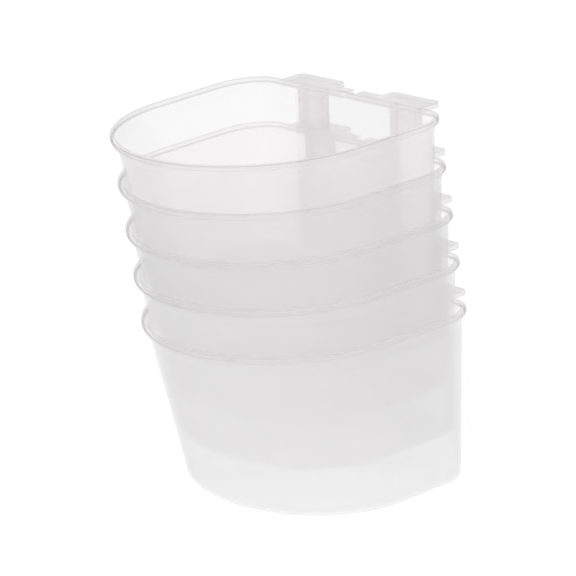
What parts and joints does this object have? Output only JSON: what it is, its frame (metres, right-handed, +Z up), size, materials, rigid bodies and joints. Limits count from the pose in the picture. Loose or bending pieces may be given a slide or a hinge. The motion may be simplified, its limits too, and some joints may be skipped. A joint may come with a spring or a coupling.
{
  "type": "seed cup",
  "caption": "Nested stack of translucent D-shaped seed cups with flared lips and a pair of rear hooks for cage wire; each cup lifts out of the one below.",
  "frame": {"origin": "centre of the lowest cup's flat base", "axes": "+Z up through the stack, +Y towards the flat rear wall and its hooks, +X along that wall; the rounded front faces -Y"},
  "size_m": [0.1, 0.0755, 0.1027],
  "materials": {
    "natural_plastic": "satin, translucent, undyed"
  },
  "bodies": {
    "bottom_cup": {"bottom_cup": "natural_plastic"},
    "second_cup": {"second_cup": "natural_plastic"},
    "third_cup": {"third_cup": "natural_plastic"},
    "fourth_cup": {"fourth_cup": "natural_plastic"},
    "top_cup": {"top_cup": "natural_plastic"}
  },
  "joints": [
    {"name": "second_cup_lift", "type": "slide", "parent": "bottom_cup", "child": "second_cup", "axis": [0, 0, 1], "range_m": [0, 0.0347]},
    {"name": "third_cup_lift", "type": "slide", "parent": "second_cup", "child": "third_cup", "axis": [0, 0, 1], "range_m": [0, 0.0347]},
    {"name": "fourth_cup_lift", "type": "slide", "parent": "third_cup", "child": "fourth_cup", "axis": [0, 0, 1], "range_m": [0, 0.0347]},
    {"name": "top_cup_lift", "type": "slide", "parent": "fourth_cup", "child": "top_cup", "axis": [0, 0, 1], "range_m": [0, 0.0347]}
  ]
}
